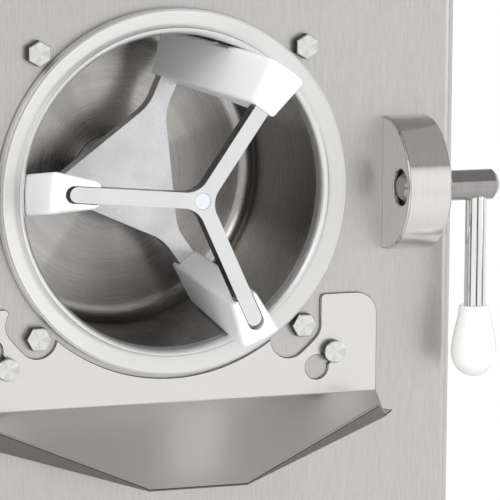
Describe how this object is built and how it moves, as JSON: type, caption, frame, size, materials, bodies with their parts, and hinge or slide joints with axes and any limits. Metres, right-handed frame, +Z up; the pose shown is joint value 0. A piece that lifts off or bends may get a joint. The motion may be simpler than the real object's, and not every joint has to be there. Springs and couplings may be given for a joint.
{
  "type": "ice cream maker",
  "caption": "Countertop batch freezer with an open steel barrel, twisted scraper blades, folded pouring chute and gate lever.",
  "frame": {"origin": "on the counter under the barrel's axis (X = 0), at the middle of the depth; the lever on the right and the screws on the rear move the box's centre by under 5 mm", "axes": "+Z up, +X to the machine's right as seen from the front, the open barrel faces -Y"},
  "size_m": [0.4176, 0.6087, 0.66],
  "materials": {
    "panels": "vertical brushed grain, satin",
    "inner_sheet": "plain mill finish",
    "turned_ring": "turned, satin",
    "barrel_steel": "turned, bright",
    "fasteners": "bright machined",
    "dasher_steel": "fine satin",
    "blade_plastic": "matte white",
    "plug_plastic": "matte, slightly blue",
    "chute_steel": "fine brushed grain",
    "block_steel": "turned, satin",
    "dark_steel": "dark gunmetal, turned",
    "rod_chrome": "polished",
    "knob_cream": "glossy cream white",
    "black_plastic": "fine matte black",
    "timer_case": "plain",
    "black_rubber": "matte",
    "bearing_steel": "ground",
    "cast_housing": "machined",
    "motor_paint": "satin grey-blue enamel",
    "black_paint": "gloss black enamel",
    "fin_aluminium": "fine fins",
    "copper": "plain copper tube",
    "foam": "porous rigid foam"
  },
  "bodies": {
    "cabinet": {"front_panel": "panels", "left_side_panel": "panels", "right_side_panel": "panels", "rear_panel": "panels", "top_panel": "panels", "base_pan": "inner_sheet", "corner_posts": "inner_sheet", "feet": "black_rubber", "drive_bulkhead": "inner_sheet", "panel_screws": "fasteners", "barrel_ring": "turned_ring", "barrel": "barrel_steel", "barrel_flange": "barrel_steel", "barrel_bolts": "fasteners", "barrel_nuts": "fasteners", "cooling_jacket": "inner_sheet", "barrel_insulation": "foam", "bearing_housing": "cast_housing", "shaft_seal": "black_rubber", "shaft_bearings": "bearing_steel", "drive_belt": "black_rubber", "drive_motor": "motor_paint", "motor_bracket": "inner_sheet", "compressor": "black_paint", "compressor_mounts": "black_rubber", "condenser": "fin_aluminium", "fan_shroud": "inner_sheet", "fan_motor": "motor_paint", "filter_drier": "copper", "discharge_line": "copper", "liquid_line": "copper", "suction_line": "copper", "chute_studs": "fasteners", "hinge_block": "block_steel", "lever_block": "block_steel", "block_screws": "fasteners", "lever_bush": "black_plastic", "switch_bezels": "black_plastic", "timer_body": "timer_case", "control_box": "inner_sheet", "power_inlet": "black_plastic"},
    "drive": {"drive_shaft": "bearing_steel", "driven_pulley": "cast_housing"},
    "dasher": {"dasher_spider": "dasher_steel", "spider_plug": "plug_plastic", "dasher_plate": "dasher_steel", "dasher_bars": "dasher_steel", "blade_upper": "blade_plastic", "blade_left": "blade_plastic", "blade_lower": "blade_plastic"},
    "motor_rotor": {"motor_shaft": "bearing_steel", "motor_pulley": "cast_housing"},
    "fan": {"condenser_fan": "black_plastic"},
    "chute_part": {"chute": "chute_steel"},
    "lever": {"lever_shaft": "dark_steel", "lever_rod": "rod_chrome", "lever_knob": "knob_cream"},
    "dasher_rocker": {"dasher_switch": "black_plastic"},
    "cooling_rocker": {"cooling_switch": "black_plastic"},
    "timer_dial": {"timer_knob": "black_plastic"}
  },
  "joints": [
    {"name": "drive_spin", "type": "hinge", "parent": "cabinet", "child": "drive", "pos_m": [0, -0.08475, 0.43], "axis": [0, -1, 0], "continuous": true},
    {"name": "dasher_pull", "type": "slide", "parent": "drive", "child": "dasher", "axis": [0, -1, 0], "range_m": [0, 0.18]},
    {"name": "motor_spin", "type": "hinge", "parent": "cabinet", "child": "motor_rotor", "pos_m": [0.07829, -0.02875, 0.54181], "axis": [0, -1, 0], "continuous": true},
    {"name": "fan_spin", "type": "hinge", "parent": "cabinet", "child": "fan", "pos_m": [0, 0.19525, 0.19], "axis": [0, -1, 0], "continuous": true},
    {"name": "chute_unlock", "type": "hinge", "parent": "cabinet", "child": "chute_part", "pos_m": [0, -0.24575, 0.43], "axis": [0, -1, 0], "range_deg": [0, 5.5]},
    {"name": "lever_turn", "type": "hinge", "parent": "cabinet", "child": "lever", "pos_m": [0.175, -0.27305, 0.43], "axis": [-1, 0, 0], "range_deg": [0, 170]},
    {"name": "dasher_switch_rock", "type": "hinge", "parent": "cabinet", "child": "dasher_rocker", "pos_m": [-0.096, -0.24175, 0.616], "axis": [-1, 0, 0], "range_deg": [0, 20]},
    {"name": "cooling_switch_rock", "type": "hinge", "parent": "cabinet", "child": "cooling_rocker", "pos_m": [-0.056, -0.24175, 0.616], "axis": [-1, 0, 0], "range_deg": [0, 20]},
    {"name": "timer_turn", "type": "hinge", "parent": "cabinet", "child": "timer_dial", "pos_m": [0.088, -0.24555, 0.616], "axis": [0, 1, 0], "range_deg": [0, 330]}
  ],
  "couplings": [
    {"joint": "motor_spin", "follows": "drive_spin", "ratio": 5.6}
  ]
}
